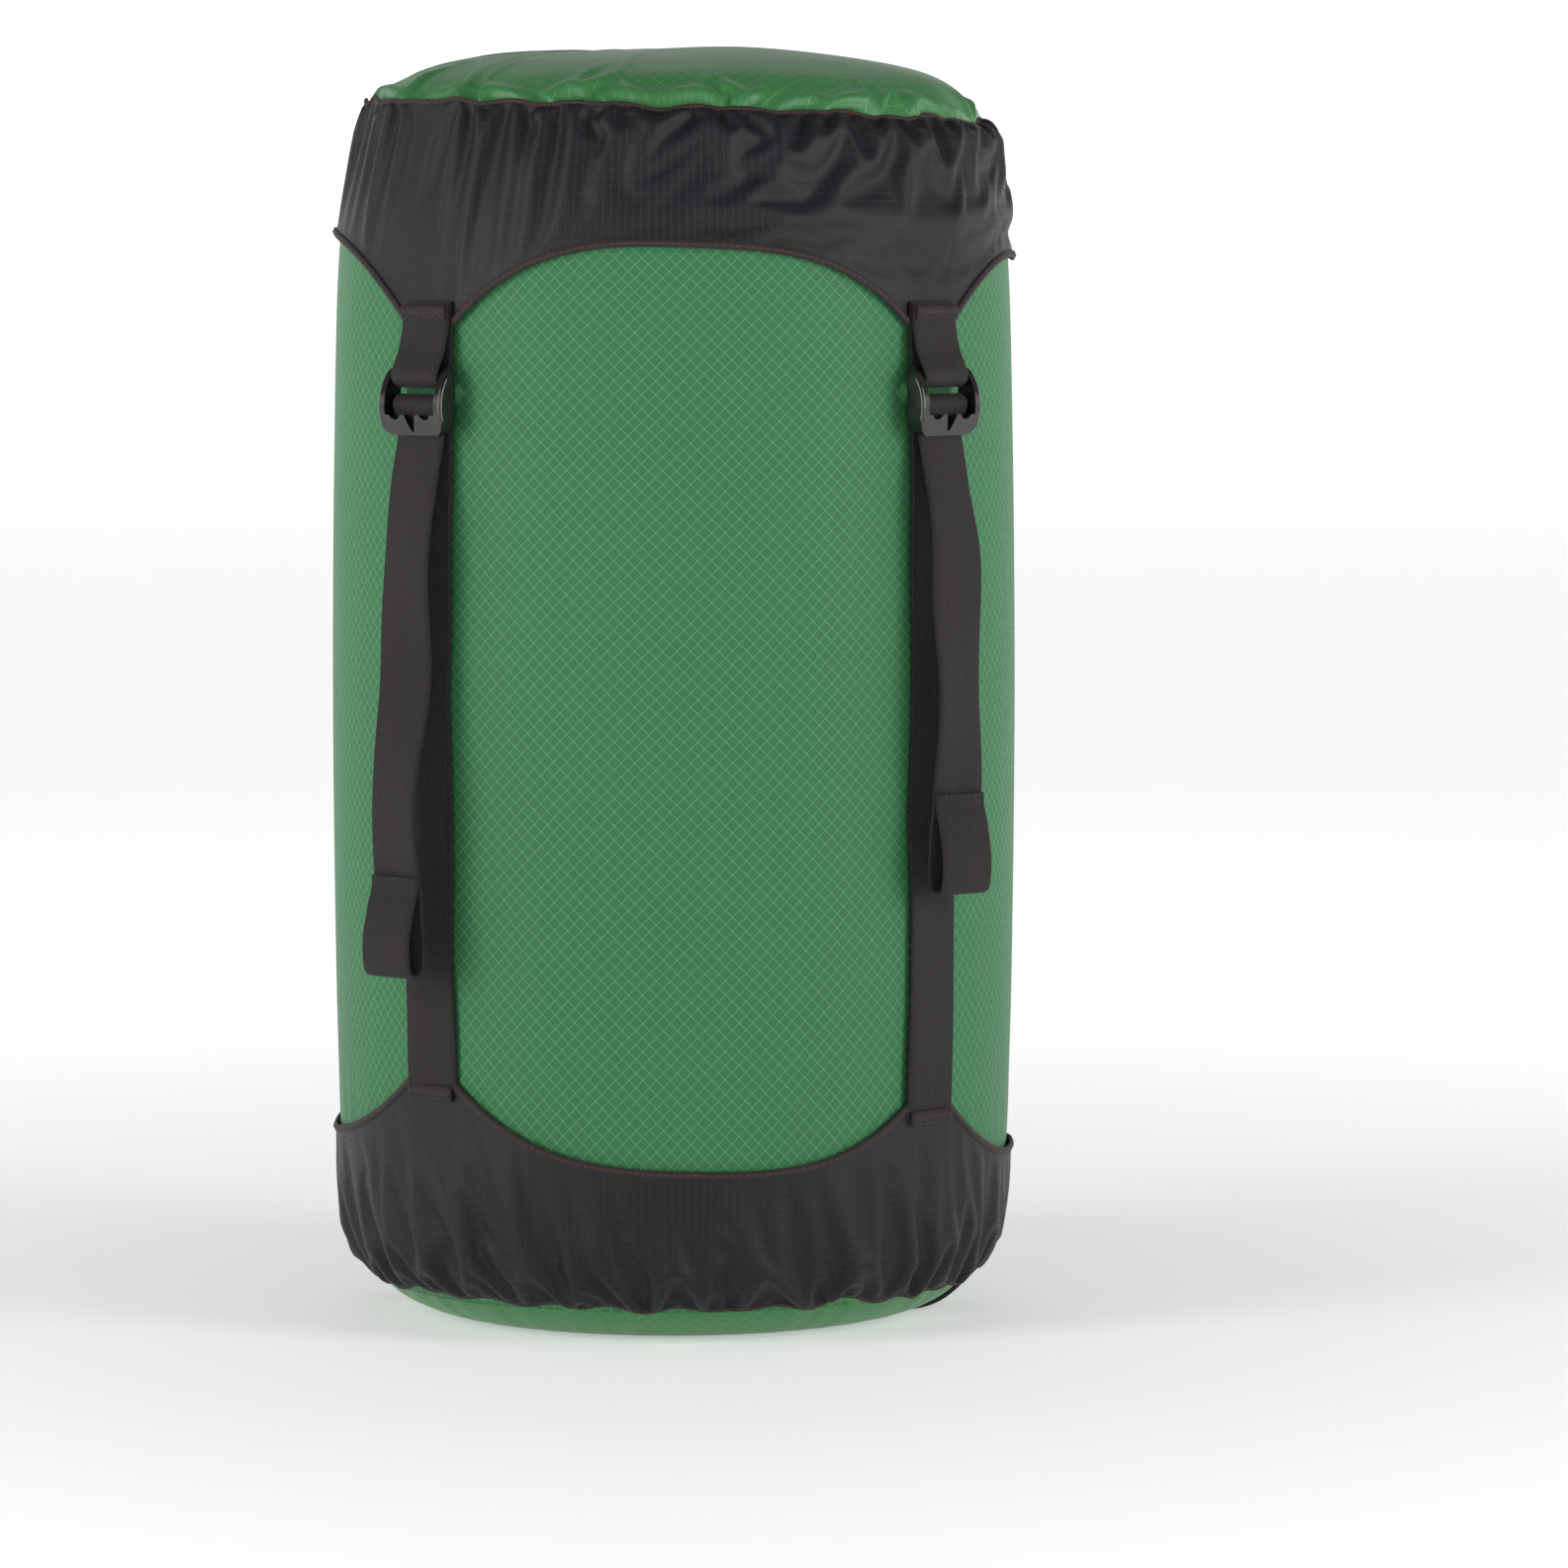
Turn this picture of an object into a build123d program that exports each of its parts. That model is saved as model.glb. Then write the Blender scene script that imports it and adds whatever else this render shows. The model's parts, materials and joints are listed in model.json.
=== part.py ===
from build123d import *
import os
from math import asin, cos, degrees, radians, sin

# A compression stuff sack: a round ripstop sack with a gathered mouth, a loose lid over the mouth,
# and four webbing straps that run from the base up through ladder-lock buckles hung from the lid.
# Millimetres. Origin at the middle of the base, +Z up, the front faces -Y.

# ---- driving dimensions ----
cloth = 0.8
gap = 0.3
seam = 0.2
body_radius = 110.0
tube_bottom = 11.0
tube_top = 340.0

base_flat_radius = 72.0
base_corner_radius = 28.5
base_rim_radius = 94.2
base_thickness = 2.4

base_scallop_apex = 55.5
base_scallop_tip = 76.5
lid_scallop_apex = 343.0
lid_scallop_tip = 319.0
scallop_half_angle = 39.6
binding_width = 4.5
binding_thickness = 0.6

webbing_width = 20.0
webbing = 1.3

anchor_bar = (114.0, 302.0)
anchor_bar_radius = 2.0
middle_bar = (114.2, 293.6)
middle_bar_radius = 1.3
lip_bottom = 283.4
buckle_top = 306.2
rail_inner = 10.8
rail_thickness = 2.9
buckle_corner = 5.5
strand_end = 285.2
tail_pivot = (114.2, 281.9)

mouth_radius = 14.0
eyelet_outer = 3.2
eyelet_inner = 1.6
eyelet_angle = -62.0

handle_angle = -10.0

# Each strap: its angle round the sack, and the height of its thumb loop's stitching and fold.
straps = {
    "front_left": (-135.0, 144.5, 115.5),
    "front_right": (-45.0, 168.5, 140.5),
    "rear_right": (45.0, 160.0, 131.5),
    "rear_left": (135.0, 152.5, 124.0),
}

# ---- meridians, as (radius, height) ----
foot_line = [(95.5, tube_bottom), (102.9, 25.0), (107.0, 45.0), (108.6, base_scallop_tip)]
flank_line = [(109.4, 120.0), (body_radius, 200.0), (109.2, 280.0), (107.5, tube_top)]
shoulder_line = [
    (107.0, 341.4),
    (102.2, 362.0),
    (96.2, 381.0),
    (85.0, 389.5),
    (50.0, 392.5),
    (mouth_radius, 392.0),
]
shoulder_fold = 383.0
lid_skirt_line = [(109.5, lid_scallop_tip), (108.9, 335.0), (107.0, 350.0), (102.6, 368.0), (97.9, 383.5)]
lid_crown_line = [(97.6, 385.2), (92.0, 393.6), (80.0, 400.0), (60.0, 404.5), (30.0, 407.4), (0.0, 408.0)]

os.makedirs("parts", exist_ok=True)


def save(piece, name):
    """Label one finished piece and write its file."""
    piece.label = name
    export_step(piece, f"parts/{name}.step")


def set_off(guide, distance, count):
    """Points along a guide line, set off square to it, to its left when distance is positive."""
    points = []
    for step in range(count + 1):
        spot = guide.position_at(step / count)
        along = guide.tangent_at(step / count)
        points.append((spot.X - along.Y * distance, spot.Y + along.X * distance))
    return points


def strip(guide, near, far, count):
    """Draw a band between two lines set off from a guide line, in the sketch that is open."""
    near_side = set_off(guide, near, count)
    far_side = set_off(guide, far, count)
    with BuildLine() as outline:
        Spline(*near_side)
        Line(near_side[-1], far_side[-1])
        Spline(*far_side)
        Line(near_side[0], far_side[0])
    make_face(outline.edges())


def meridian_band(points, near, far, count=24):
    """Draw a band along a meridian given by its points."""
    strip(Edge.make_spline([Vector(*point) for point in points]), near, far, count)


def radial_plane(angle, offset=0.0):
    """A plane through the sack's axis: x outwards at this angle, y up, moved sideways by offset."""
    side = Vector(sin(radians(angle)), -cos(radians(angle)), 0)
    return Plane(origin=side * offset, x_dir=(cos(radians(angle)), sin(radians(angle)), 0), z_dir=side)


def facing_plane(angle, distance):
    """A plane square to the radius at this angle: x along the wall, y up, its normal outwards."""
    outwards = Vector(cos(radians(angle)), sin(radians(angle)), 0)
    along_wall = Vector(-sin(radians(angle)), cos(radians(angle)), 0)
    return Plane(origin=outwards * distance, x_dir=along_wall, z_dir=outwards)


def seams(count, inner=0.0):
    """Cut hairline seams that part a round skin into upright panels, outwards from a radius."""
    outwards = (Align.MIN, Align.CENTER, Align.CENTER)
    with PolarLocations(inner, count):
        Box(body_radius + 10, seam, 3 * buckle_top, align=outwards, mode=Mode.SUBTRACT)


def scallop(apex, tip, shift=0.0, steps=5):
    """Points of one arched edge from strap to strap, seen square on."""
    points = []
    for step in range(-steps, steps + 1):
        share = step / steps
        across = body_radius * sin(radians(scallop_half_angle * share))
        points.append((across, apex + (tip - apex) * abs(share) ** 3 + shift))
    return points


def scallop_region(apex, tip, beyond):
    """Draw the area between an arched edge and a level line past its tips."""
    edge = scallop(apex, tip)
    with BuildLine() as outline:
        Spline(*edge)
        Polyline(edge[-1], (edge[-1][0], beyond), (edge[0][0], beyond), edge[0])
    make_face(outline.edges())


def scallop_band(apex, tip, width):
    """Draw a band of this height along an arched edge."""
    edge = scallop(apex, tip)
    other = scallop(apex, tip, shift=width)
    with BuildLine() as outline:
        Spline(*edge)
        Line(edge[-1], other[-1])
        Spline(*other)
        Line(edge[0], other[0])
    make_face(outline.edges())


def edge_binding(line, near, far, apex, tip, width):
    """Four lengths of binding tape, one along each arched edge of a collar."""
    with BuildPart() as tape:
        for quarter in range(4):
            with BuildSketch(facing_plane(quarter * 90, 78)):
                scallop_band(apex, tip, width)
            extrude(amount=40)
        with BuildSketch(Plane.XZ) as section:
            meridian_band(line, near, far)
        revolve(section.sketch, axis=Axis.Z, mode=Mode.INTERSECT)
    return tape.part


def hem_tape(line, start, end, near, far):
    """A ring of tape over a gathered hem, beside the stretch of a meridian from start to end."""
    guide = Edge.make_spline([Vector(*point) for point in line]).trim(start, end)
    with BuildPart() as tape:
        with BuildSketch(Plane.XZ) as section:
            strip(guide, near, far, 6)
            fillet(section.vertices(), radius=0.4)
        revolve(axis=Axis.Z)
    return tape.part


def tacks(radius, height, tall, thick):
    """The four stitched bars at the tips of a collar."""
    with BuildPart() as bars:
        for angle, stitch, fold in straps.values():
            with BuildSketch(facing_plane(angle, radius)):
                with Locations((0, height)):
                    RectangleRounded(webbing_width - 2, tall, tall / 3)
            extrude(amount=thick)
    return bars.part


# ---- base panel: a flat round floor with a rounded rim, and a shallow channel for the handle ----
rim_angle = degrees(asin((base_rim_radius - base_flat_radius) / base_corner_radius))
with BuildLine() as base_line:
    CenterArc((-base_flat_radius, base_corner_radius), base_corner_radius, 270 - rim_angle, rim_angle)
    Line((-base_flat_radius, 0), (base_flat_radius, 0))
    CenterArc((base_flat_radius, base_corner_radius), base_corner_radius, 270, rim_angle)
base_wire = base_line.wire()

inner_corner_radius = base_corner_radius - base_thickness
with BuildPart() as base_panel:
    with BuildSketch(Plane.XZ):
        with BuildLine():
            low = Line((0, 0), (base_flat_radius, 0))
            outer = CenterArc((base_flat_radius, base_corner_radius), base_corner_radius, 270, rim_angle)
            high = Line((0, base_thickness), (base_flat_radius, base_thickness))
            inner = CenterArc((base_flat_radius, base_corner_radius), inner_corner_radius, 270, rim_angle)
            Line(outer @ 1, inner @ 1)
            Line(low @ 0, high @ 0)
        make_face()
    revolve(axis=Axis.Z)
    with BuildSketch(radial_plane(handle_angle, -webbing_width / 2 - gap)):
        strip(base_wire, -0.6, webbing + 0.3, 60)
    extrude(amount=webbing_width + 2 * gap, mode=Mode.SUBTRACT)
save(base_panel.part, "base_panel")

# ---- base handle: one length of webbing, flat across the base from rim to rim ----
with BuildPart() as base_handle:
    with BuildSketch(radial_plane(handle_angle, -webbing_width / 2)):
        strip(base_wire, 0.1, 0.1 + webbing, 60)
    extrude(amount=webbing_width)
save(base_handle.part, "base_handle")

# ---- sack tube: the ripstop wall, open at both ends, in upright panels ----
with BuildPart() as sack_tube:
    with BuildSketch(Plane.XZ):
        meridian_band(foot_line + flank_line, 0, cloth)
    revolve(axis=Axis.Z)
    seams(16)
save(sack_tube.part, "sack_tube")

# ---- base collar: a doubled cloth collar round the foot, scalloped between the straps ----
with BuildPart() as base_collar:
    with BuildSketch(Plane.XZ):
        meridian_band(foot_line, -gap - cloth, -gap)
    revolve(axis=Axis.Z)
    for quarter in range(4):
        with BuildSketch(facing_plane(quarter * 90, 60)):
            scallop_region(base_scallop_apex, base_scallop_tip, base_scallop_tip + 10)
        extrude(amount=60, mode=Mode.SUBTRACT)
save(base_collar.part, "base_collar")

base_skin = -gap - cloth
tape_layer = -0.05 - binding_thickness
binding = edge_binding(
    foot_line, base_skin + tape_layer, base_skin - 0.05, base_scallop_apex, base_scallop_tip, -binding_width
)
save(binding, "base_collar_binding")
save(hem_tape(foot_line, 0.0, 0.07, base_skin - 1.2, base_skin - 0.15), "base_hem_binding")
save(tacks(110.3, base_scallop_tip - 3.2, 3.6, 0.7), "base_bartacks")

# ---- shoulder and mouth: the sack's top, gathered in to a flared and hemmed mouth ----
with BuildPart() as sack_shoulder:
    with BuildSketch(Plane.XZ):
        meridian_band(shoulder_line, 0, cloth)
    revolve(axis=Axis.Z)
    seams(8)
    with Locations((0, 0, shoulder_fold)):
        Box(2 * body_radius, 2 * body_radius, seam, mode=Mode.SUBTRACT)
save(sack_shoulder.part, "sack_shoulder")

flare_low = Vector(mouth_radius + 0.8, 393.2)
flare_high = Vector(24.0, 400.6)
flare_along = (flare_high - flare_low).normalized()
flare_middle = (flare_low + flare_high) * 0.5
bead_radius = 2.6
eyelet_plane = Plane(
    origin=(
        flare_middle.X * cos(radians(eyelet_angle)),
        flare_middle.X * sin(radians(eyelet_angle)),
        flare_middle.Y,
    ),
    z_dir=(
        flare_along.Y * cos(radians(eyelet_angle)),
        flare_along.Y * sin(radians(eyelet_angle)),
        -flare_along.X,
    ),
)
with BuildPart() as mouth_hem:
    with BuildSketch(Plane.XZ):
        strip(Edge.make_line(flare_low, flare_high), -cloth / 2, cloth / 2, 4)
        with Locations((flare_high.X, flare_high.Y)):
            Circle(bead_radius)
    revolve(axis=Axis.Z)
    with BuildSketch(eyelet_plane):
        Circle(eyelet_inner)
    extrude(amount=4, both=True, mode=Mode.SUBTRACT)
save(mouth_hem.part, "mouth_hem")

with BuildPart() as cord_eyelet:
    with BuildSketch(eyelet_plane.offset(cloth / 2 + 0.1)):
        Circle(eyelet_outer)
        Circle(eyelet_inner, mode=Mode.SUBTRACT)
    extrude(amount=0.7)
save(cord_eyelet.part, "cord_eyelet")

# ---- lid: a domed crown and a scalloped skirt, sewn together at a gathered hem ----
crown_span = lid_crown_line + [(-x, z) for x, z in reversed(lid_crown_line[:-1])]
with BuildPart() as lid_panel:
    with BuildSketch(Plane.XZ):
        meridian_band(crown_span, 0, cloth, 48)
        with Locations((60, 390)):
            Rectangle(120, 60, mode=Mode.INTERSECT)
        with Locations((mouth_radius, 400)):
            Rectangle(seam, 60, mode=Mode.SUBTRACT)
    revolve(axis=Axis.Z)
    seams(8, mouth_radius)
save(lid_panel.part, "lid_panel")

with BuildPart() as lid_collar:
    with BuildSketch(Plane.XZ):
        meridian_band(lid_skirt_line, 0, cloth)
    revolve(axis=Axis.Z)
    for quarter in range(4):
        with BuildSketch(facing_plane(quarter * 90, 60)):
            scallop_region(lid_scallop_apex, lid_scallop_tip, lid_scallop_tip - 10)
        extrude(amount=60, mode=Mode.SUBTRACT)
save(lid_collar.part, "lid_collar")

binding = edge_binding(lid_skirt_line, tape_layer, -0.05, lid_scallop_apex, lid_scallop_tip, binding_width)
save(binding, "lid_collar_binding")
save(hem_tape(lid_skirt_line, 0.94, 1.0, -1.2, -0.15), "lid_hem_binding")
save(tacks(109.7, lid_scallop_tip + 3.2, 3.6, 0.7), "lid_bartacks")


# ---- hardware and webbing of one strap ----
def anchor_loop(angle):
    """Webbing from the lid's skirt, down round the buckle's top bar and back up."""
    loop_radius = anchor_bar_radius + 0.3 + webbing / 2
    bar_x, bar_z = anchor_bar
    back_top = Vector(109.4, lid_scallop_tip - 0.3)
    front_top = Vector(109.4 + webbing + 0.1, lid_scallop_tip - 0.3)
    with BuildLine() as loop:
        back = Line(back_top, (bar_x - loop_radius, bar_z + 0.3))
        front = Line(front_top, (bar_x + loop_radius * 0.94, bar_z + loop_radius * 0.36))
        ThreePointArc(back @ 1, (bar_x, bar_z - loop_radius), front @ 1)
    with BuildPart() as anchor:
        with BuildSketch(radial_plane(angle, -webbing_width / 2)):
            strip(loop.wire(), -webbing / 2, webbing / 2, 48)
        extrude(amount=webbing_width)
    return anchor.part


def ladderlock(angle):
    """The buckle: two bowed rails, a bar for the anchor, a bar for the strap and a notched lip."""
    width = 2 * (rail_inner + rail_thickness)
    with BuildPart() as buckle:
        with BuildSketch(radial_plane(angle, -width / 2)) as profile:
            with BuildLine() as rail:
                bow = ThreePointArc((112.4, buckle_top), (119.3, 295.6), (116.6, lip_bottom))
                Line(bow @ 1, (112.9, lip_bottom))
                ThreePointArc((112.9, lip_bottom), (112.2, 294.5), (112.4, buckle_top))
            make_face(rail.edges())
            fillet(profile.vertices().sort_by(Axis.Z)[:2], radius=0.8)
        extrude(amount=width)
        bows = buckle.edges().filter_by(GeomType.CIRCLE).filter_by(lambda edge: edge.length > 15)
        fillet(bows, radius=0.9)
        with BuildSketch(facing_plane(angle, 100)):
            with Locations((0, (lip_bottom + buckle_top) / 2)):
                RectangleRounded(width, buckle_top - lip_bottom, buckle_corner)
        extrude(amount=30, mode=Mode.INTERSECT)
        with BuildSketch(radial_plane(angle, -rail_inner)):
            with BuildLine() as throat:
                lip_back = Line((117.2, 290.0), (115.2, 282.0))
                Polyline(lip_back @ 1, (100, 282), (100, 320), (130, 320), (130, 290), lip_back @ 0)
            make_face(throat.edges())
        extrude(amount=2 * rail_inner, mode=Mode.SUBTRACT)
        with BuildSketch(radial_plane(angle, -rail_inner - 1)):
            with Locations(anchor_bar):
                Circle(anchor_bar_radius)
            with Locations(middle_bar):
                Circle(middle_bar_radius)
        extrude(amount=2 * rail_inner + 2)
        with BuildSketch(facing_plane(angle, 114)):
            with BuildLine() as notch:
                Polyline((-2.8, 291), (2.8, 291), (0.5, 284.9), (-0.5, 284.9), (-2.8, 291))
            make_face(notch.edges())
            with Locations((-6.6, 291.2), (6.6, 291.2)):
                Circle(2.7)
        extrude(amount=8, mode=Mode.SUBTRACT)
    return buckle.part


def strap_strand(angle):
    """The loaded part of the strap, from the base collar up the wall to the buckle."""
    guide = Edge.make_spline(
        [
            Vector(110.0, base_scallop_tip + 0.4),
            Vector(110.6, 120.0),
            Vector(111.2, 200.0),
            Vector(110.7, 260.0),
            Vector(110.8, strand_end),
        ]
    )
    with BuildPart() as strand:
        with BuildSketch(radial_plane(angle, -webbing_width / 2)):
            strip(guide, -webbing / 2, webbing / 2, 24)
        extrude(amount=webbing_width)
    return strand.part


def strap_wrap(angle):
    """The part of the strap inside the buckle: over the middle bar and down behind the lip."""
    turn = middle_bar_radius + 0.25 + webbing / 2
    bar_x, bar_z = middle_bar
    guide = Edge.make_spline(
        [
            Vector(110.9, strand_end + gap),
            Vector(111.3, 289.4),
            Vector(bar_x - turn, bar_z + 0.2),
            Vector(bar_x, bar_z + turn),
            Vector(bar_x + turn, bar_z),
            Vector(115.3, 289.6),
            Vector(114.3, 286.2),
            Vector(tail_pivot[0], tail_pivot[1] + 0.7),
        ]
    )
    with BuildPart() as wrap:
        with BuildSketch(radial_plane(angle, -webbing_width / 2)):
            strip(guide, -webbing / 2, webbing / 2, 40)
        extrude(amount=webbing_width)
    return wrap.part


def strap_tail(angle, stitch, fold):
    """The free end: it bows away from the wall and is folded back into a thumb loop."""
    drop = tail_pivot[1] - stitch
    lift = stitch - fold
    layer = webbing + 0.1
    guide = Edge.make_spline(
        [
            Vector(*tail_pivot),
            Vector(117.0, tail_pivot[1] - 0.10 * drop),
            Vector(120.8, tail_pivot[1] - 0.28 * drop),
            Vector(121.6, tail_pivot[1] - 0.55 * drop),
            Vector(121.8, tail_pivot[1] - 0.80 * drop),
            Vector(121.4, stitch),
            Vector(119.6, stitch - 0.35 * lift),
            Vector(118.3, stitch - 0.70 * lift),
            Vector(119.4, fold + 2.0),
            Vector(122.6, fold + webbing / 2),
            Vector(126.0, fold + 2.6),
            Vector(126.6, stitch - 0.60 * lift),
            Vector(124.6, stitch - 0.25 * lift),
            Vector(121.6 + layer, stitch - 1.0),
            Vector(121.6 + layer, stitch + 3.0),
        ]
    )
    with BuildPart() as tail:
        with BuildSketch(radial_plane(angle, -webbing_width / 2)):
            strip(guide, -webbing / 2, webbing / 2, 90)
        extrude(amount=webbing_width)
        with BuildSketch(radial_plane(angle, -webbing_width / 2 + 1)):
            with Locations((121.6 + layer / 2, stitch + 1.0)):
                Rectangle(1.6, 3.0)
        extrude(amount=webbing_width - 2)
    return tail.part


for place, (angle, stitch, fold) in straps.items():
    save(anchor_loop(angle), f"anchor_{place}")
    save(ladderlock(angle), f"ladderlock_{place}")
    save(strap_strand(angle), f"strap_{place}_strand")
    save(strap_wrap(angle), f"strap_{place}_wrap")
    save(strap_tail(angle, stitch, fold), f"strap_{place}_tail")
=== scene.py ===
"""The looks of a compression stuff sack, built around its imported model. Metres, +Z up, front towards -Y."""

import json
import math

import bpy
import numpy as np
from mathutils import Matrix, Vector


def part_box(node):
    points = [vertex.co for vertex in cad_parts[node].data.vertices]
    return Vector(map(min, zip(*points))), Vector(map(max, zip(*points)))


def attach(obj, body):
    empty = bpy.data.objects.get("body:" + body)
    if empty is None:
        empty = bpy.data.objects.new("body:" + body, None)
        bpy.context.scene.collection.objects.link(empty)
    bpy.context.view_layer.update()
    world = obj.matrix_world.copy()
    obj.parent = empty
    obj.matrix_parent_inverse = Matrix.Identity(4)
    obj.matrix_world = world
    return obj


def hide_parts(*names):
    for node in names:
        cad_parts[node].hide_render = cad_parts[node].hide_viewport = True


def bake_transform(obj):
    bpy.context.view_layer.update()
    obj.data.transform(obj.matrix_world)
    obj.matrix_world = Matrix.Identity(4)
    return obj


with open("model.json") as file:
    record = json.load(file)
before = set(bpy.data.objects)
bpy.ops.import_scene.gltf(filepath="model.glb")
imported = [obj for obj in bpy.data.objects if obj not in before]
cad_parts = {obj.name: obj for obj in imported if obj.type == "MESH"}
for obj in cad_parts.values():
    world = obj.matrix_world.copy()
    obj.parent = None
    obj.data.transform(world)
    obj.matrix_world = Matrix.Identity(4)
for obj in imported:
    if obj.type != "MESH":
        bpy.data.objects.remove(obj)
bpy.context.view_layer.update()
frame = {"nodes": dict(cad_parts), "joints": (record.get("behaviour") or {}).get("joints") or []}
MM = 0.001

# ---- places read from the frame ----
NODES = {name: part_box(name) for name in frame["nodes"]}
BODY_RADIUS = NODES["sack_tube"][1].x
TUBE_BOTTOM = NODES["sack_tube"][0].z
TUBE_TOP = NODES["sack_tube"][1].z
BASE_TIP = NODES["base_collar"][1].z
LID_TIP = NODES["lid_collar"][0].z
LID_HEM = NODES["lid_collar"][1].z
LID_TOP = NODES["lid_panel"][1].z
BUCKLE_PIVOTS = {
    joint["child"].replace("buckle_", ""): Vector(joint["pos_m"])
    for joint in frame["joints"]
    if joint["name"].startswith("buckle_")
}
STRAP_ANGLES = {place: math.atan2(pivot.y, pivot.x) for place, pivot in BUCKLE_PIVOTS.items()}

# ---- sizes of the soft pieces ----
CLOTH = 0.45 * MM
WEBBING_WIDTH = 20 * MM
WEBBING = 1.3 * MM
SCALLOP_HALF_ANGLE = math.radians(39.6)
LID_APEX = LID_TIP + 24 * MM
BASE_APEX = BASE_TIP - 21 * MM
LID_LEAN = (4.2 * MM, 0.0)
BASE_LEAN = (2.8 * MM, 4.2 * MM)
BINDING_WIDTH = 2.5 * MM
BINDING_THICKNESS = 1.3 * MM
DIAMONDS_ROUND = 160
DIAMOND = 2 * math.pi * BODY_RADIUS / DIAMONDS_ROUND
WEAVE = 0.42 * MM


# ---- shapes ----


def smooth_line(points, count):
    """A smooth line through a few points, as count points evenly spaced along it."""
    p = np.array(points, float)
    p = np.vstack([2 * p[0] - p[1], p, 2 * p[-1] - p[-2]])
    found = []
    for i in range(1, len(p) - 2):
        t = np.linspace(0, 1, 24, endpoint=False)[:, None]
        a, b, c, d = p[i - 1 : i + 3]
        found.append(
            0.5
            * (
                2 * b
                + (c - a) * t
                + (2 * a - 5 * b + 4 * c - d) * t**2
                + (3 * b - a - 3 * c + d) * t**3
            )
        )
    line = np.vstack([*found, p[-2:-1]])
    return even(line, count)


def sample(wanted, at, rows):
    """Rows of numbers, known at some places, read off at the wanted places."""
    return np.column_stack([np.interp(wanted, at, rows[:, k]) for k in range(rows.shape[1])])


def even(line, count):
    """The same line as count points evenly spaced along it."""
    run = lengths(line)
    return sample(np.linspace(0, run[-1], count), run, line)


def ease(share):
    """A share from 0 to 1 that starts and ends gently."""
    return share * share * (3 - 2 * share)


def lengths(line):
    """How far along a line each of its points is."""
    return np.r_[0, np.cumsum(np.linalg.norm(np.diff(line, axis=0), axis=1))]


def unit(vectors):
    """The same vectors, one in each row, at length 1."""
    return vectors / np.linalg.norm(vectors, axis=1)[:, None]


def normals_of(line):
    """Unit normals to the left of a line in a plane."""
    tangent = unit(np.gradient(line, axis=0))
    return np.column_stack([-tangent[:, 1], tangent[:, 0]])


def full_turn(columns):
    """Angles evenly spaced all the way round."""
    return np.linspace(0, 2 * math.pi, columns, endpoint=False)


def polar(radius, angle, height):
    """Points at these radii, angles and heights, their three parts on the last axis."""
    radius, angle, height = np.broadcast_arrays(radius, angle, height)
    return np.stack([radius * np.cos(angle), radius * np.sin(angle), height], axis=-1)


def radial(angle):
    """Unit vectors outwards, along the wall and up, at an angle round the sack."""
    outwards = np.array([math.cos(angle), math.sin(angle), 0.0])
    along = np.array([-math.sin(angle), math.cos(angle), 0.0])
    return outwards, along, np.array([0.0, 0.0, 1.0])


def ripple(a, b, seed, waves, low, high):
    """Smooth unevenness from -1 to 1 over two coordinates, the same on each run."""
    random = np.random.default_rng(seed)
    total = np.zeros(np.broadcast(a, b).shape)
    for _ in range(waves):
        around = random.integers(low, high)
        total += np.sin(around * a + random.uniform(-30, 30) * b + random.uniform(0, 6.28))
    return total / math.sqrt(waves) / 1.4


def mesh_object(name, vertices, faces, uvs=None):
    """A smooth-shaded mesh object in the scene. uvs holds one pair for each corner of each face."""
    mesh = bpy.data.meshes.new(name)
    mesh.from_pydata([tuple(v) for v in vertices], [], [tuple(f) for f in faces])
    mesh.update()
    mesh.shade_smooth()
    if uvs is not None:
        layer = mesh.uv_layers.new(name="UVMap")
        layer.data.foreach_set("uv", np.array(uvs, np.float32).ravel())
    made = bpy.data.objects.new(name, mesh)
    bpy.context.scene.collection.objects.link(made)
    return made


def grid_faces(rows, columns, wrap):
    """Quads of a grid of points, row by row, as (faces, corner rows, corner columns)."""
    across = columns if wrap else columns - 1
    r, c = np.meshgrid(np.arange(rows - 1), np.arange(across), indexing="ij")
    corner_rows = np.stack([r, r, r + 1, r + 1], axis=-1).reshape(-1, 4)
    corner_columns = np.stack([c, c + 1, c + 1, c], axis=-1).reshape(-1, 4)
    faces = corner_rows * columns + corner_columns % columns
    return faces, corner_rows, corner_columns


def grid_object(name, points, wrap):
    """A sheet from points[row, column]. wrap joins its last column to its first."""
    rows, columns = points.shape[:2]
    return mesh_object(name, points.reshape(-1, 3), grid_faces(rows, columns, wrap)[0])


def thicken(piece, side):
    """Give a sheet the cloth's thickness on one side, -1 or 1."""
    solid = piece.modifiers.new("thickness", "SOLIDIFY")
    solid.thickness = CLOTH
    solid.offset = side
    apply_modifiers(piece)


def subdivide(piece):
    """Smooth a sheet with one subdivision."""
    smooth = piece.modifiers.new("smooth", "SUBSURF")
    smooth.levels = 1
    smooth.render_levels = 1
    apply_modifiers(piece)


def apply_modifiers(piece):
    """Replace a mesh by what its modifiers make of it."""
    graph = bpy.context.evaluated_depsgraph_get()
    mesh = bpy.data.meshes.new_from_object(piece.evaluated_get(graph))
    old = piece.data
    piece.modifiers.clear()
    piece.data = mesh
    mesh.name = old.name
    bpy.data.meshes.remove(old)


def positions(piece):
    """The vertices of a mesh object, as an array."""
    flat = np.zeros(len(piece.data.vertices) * 3, np.float32)
    piece.data.vertices.foreach_get("co", flat)
    return flat.reshape(-1, 3).astype(float)


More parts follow.
